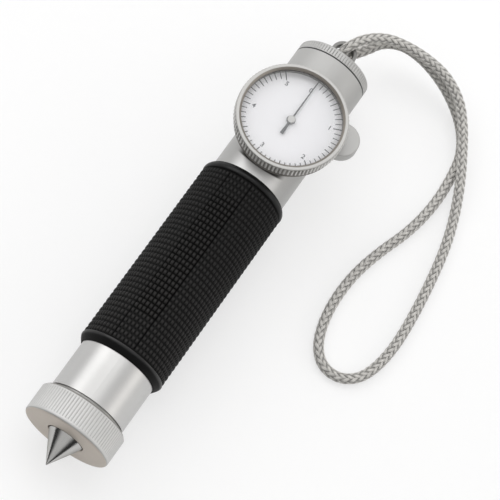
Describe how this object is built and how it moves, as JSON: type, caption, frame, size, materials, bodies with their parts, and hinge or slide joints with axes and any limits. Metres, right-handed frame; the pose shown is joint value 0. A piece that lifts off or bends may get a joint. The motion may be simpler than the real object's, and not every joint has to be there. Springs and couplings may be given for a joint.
{
  "type": "fruit hardness tester",
  "caption": "Hand-held fruit hardness tester: a sprung plunger with a cone tip turns a dial pointer by a rack, with a knurled grip, turning bezel, reset lever and wrist cord.",
  "frame": {"origin": "centre of the contact ring's front face, on the tool's axis", "axes": "+X along the tool from the tip to the end cap, +Z the dial's normal, +Y to the left of someone looking at the dial with the cap up"},
  "size_m": [0.1871, 0.0872, 0.035],
  "materials": {
    "satin_aluminium": "satin anodised",
    "polished_steel": "polished",
    "turned_steel": "turned",
    "spring_steel": "drawn wire",
    "screw_steel": "plated",
    "brass_parts": "turned",
    "black_rubber": "matt, knurled",
    "guide_plastic": "moulded",
    "spacer_metal": "turned, satin",
    "dial_white": "printed white",
    "pointer_grey": "satin",
    "window_glass": "clear",
    "cord_fabric": "braided, heathered grey"
  },
  "bodies": {
    "barrel": {"contact_ring": "satin_aluminium", "barrel_tube": "satin_aluminium", "grip_sleeve": "black_rubber", "front_bush": "brass_parts", "rear_bush": "brass_parts", "spring_seat": "turned_steel", "measuring_spring": "spring_steel", "rack_guide": "guide_plastic", "dial_case": "satin_aluminium", "case_screws": "screw_steel", "movement_plate": "brass_parts", "movement_pillars": "brass_parts", "movement_bridge": "brass_parts", "bridge_screws": "screw_steel", "brake_leaf": "spring_steel", "brake_pad": "black_rubber", "lever_pin": "turned_steel", "bezel_snap_ring": "spring_steel", "end_cap": "satin_aluminium", "cap_gasket": "black_rubber", "wrist_cord": "cord_fabric"},
    "plunger": {"cone_tip": "polished_steel", "plunger_rod": "polished_steel", "spring_collar": "turned_steel", "collar_pin": "turned_steel", "rack": "brass_parts", "rack_screws": "screw_steel"},
    "pointer_set": {"pointer_arbor": "turned_steel", "pinion": "brass_parts", "hold_disc": "turned_steel", "pointer": "pointer_grey", "pointer_hub": "pointer_grey"},
    "bezel_set": {"bezel": "satin_aluminium", "crystal": "window_glass", "crystal_spacer": "spacer_metal", "dial_plate": "dial_white"},
    "lever_set": {"reset_lever": "satin_aluminium"}
  },
  "joints": [
    {"name": "plunger_slide", "type": "slide", "parent": "barrel", "child": "plunger", "axis": [1, 0, 0], "range_m": [0, 0.0101], "stiffness_N_per_m": 4860, "deforming": ["measuring_spring"]},
    {"name": "pointer_turn", "type": "hinge", "parent": "barrel", "child": "pointer_set", "pos_m": [0.1208, 0, 0], "axis": [0, 0, 1], "range_deg": [-321.9, 0]},
    {"name": "bezel_turn", "type": "hinge", "parent": "barrel", "child": "bezel_set", "pos_m": [0.1208, 0, 0], "axis": [0, 0, 1], "continuous": true},
    {"name": "reset_press", "type": "hinge", "parent": "barrel", "child": "lever_set", "pos_m": [0.12361, -0.00695, 0.0117], "axis": [0.9272, 0.3746, 0], "range_deg": [0, 8], "stiffness_Nm_per_rad": 0.25}
  ],
  "couplings": [
    {"joint": "pointer_turn", "follows": "plunger_slide", "rad_per_m": -555.56}
  ]
}
